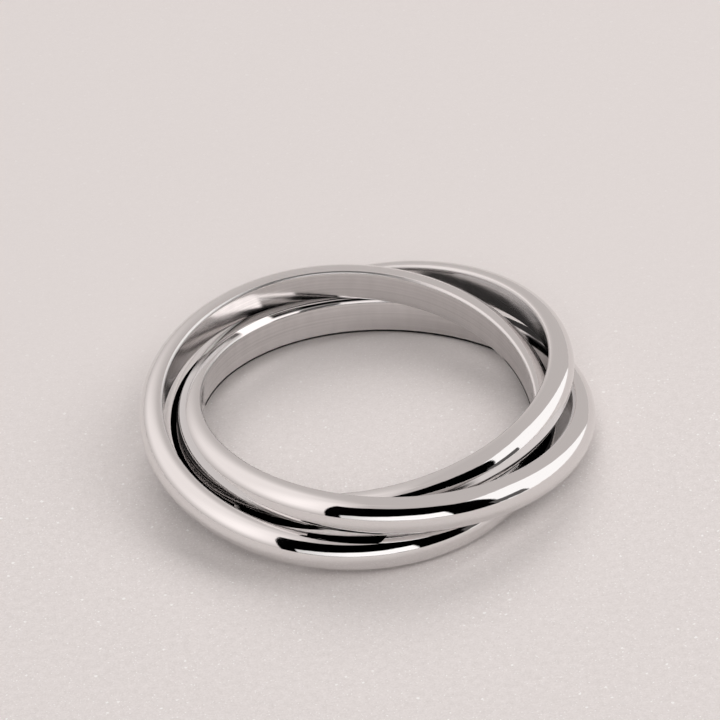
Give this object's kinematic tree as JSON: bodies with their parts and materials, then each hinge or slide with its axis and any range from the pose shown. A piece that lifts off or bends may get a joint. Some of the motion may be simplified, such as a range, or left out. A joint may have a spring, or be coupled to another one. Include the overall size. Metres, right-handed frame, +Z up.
{
  "type": "rolling ring",
  "caption": "Finger ring of interlinked plain domed bands in polished silver-coloured metal, each passing through the others and free to turn.",
  "frame": {"origin": "centre of the bounding box in plan, on the floor that the ring lies on", "axes": "+Z up through the finger hole, -Y towards the viewer of the picture, +X to the viewer's right"},
  "size_m": [0.0246, 0.0245, 0.0051],
  "materials": {
    "band_metal": "mirror-polished silver, softer inside the bands"
  },
  "bodies": {
    "left_band": {"left_band": "band_metal"},
    "right_band": {"right_band": "band_metal"},
    "back_band": {"back_band": "band_metal"}
  },
  "joints": [
    {"name": "right_band_turn", "type": "hinge", "parent": "left_band", "child": "right_band", "pos_m": [0.00105, -0.00105, 0.00243], "axis": [0.0854, 0.1055, 0.9907], "continuous": true},
    {"name": "back_band_turn", "type": "hinge", "parent": "left_band", "child": "back_band", "pos_m": [0.00021, 0.00101, 0.00228], "axis": [-0.1149, 0.0351, 0.9928], "continuous": true}
  ]
}
